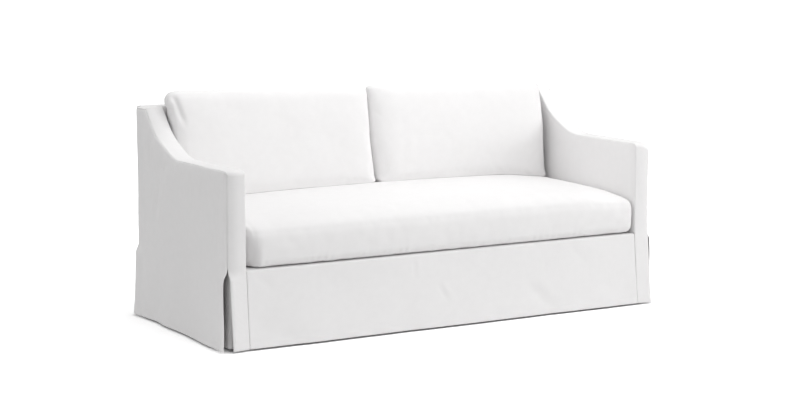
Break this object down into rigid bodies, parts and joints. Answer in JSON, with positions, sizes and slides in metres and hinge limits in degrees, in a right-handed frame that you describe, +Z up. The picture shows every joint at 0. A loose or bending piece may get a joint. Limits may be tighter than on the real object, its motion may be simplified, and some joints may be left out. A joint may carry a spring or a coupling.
{
  "type": "sofa slipcover",
  "caption": "Loose fitted cotton slipcover for a sofa with narrow arms, with a flared skirt split by corner kick pleats, and its boxed seat and back cushions.",
  "frame": {"origin": "centre of the footprint of the hem, at hem level", "axes": "+X along the width, to the right of someone facing the front; the front faces -Y; +Z up"},
  "size_m": [2.0706, 0.928, 0.9138],
  "materials": {
    "cover_cloth": "plain-woven cotton and linen, washed, matt",
    "cushion_cloth": "plain-woven cotton and linen, washed, matt"
  },
  "bodies": {
    "root": {"outside_back": "cover_cloth", "inside_back": "cover_cloth", "back_boxing": "cover_cloth", "arm_strip_left": "cover_cloth", "arm_strip_right": "cover_cloth", "outer_arm_left": "cover_cloth", "outer_arm_right": "cover_cloth", "inner_arm_left": "cover_cloth", "inner_arm_right": "cover_cloth", "deck": "cover_cloth", "front_panel": "cover_cloth", "pleat_front_left": "cover_cloth", "pleat_front_right": "cover_cloth", "pleat_back_left": "cover_cloth", "pleat_back_right": "cover_cloth", "seat_cushion": "cushion_cloth", "back_cushion_left": "cushion_cloth", "back_cushion_right": "cushion_cloth"}
  },
  "joints": []
}
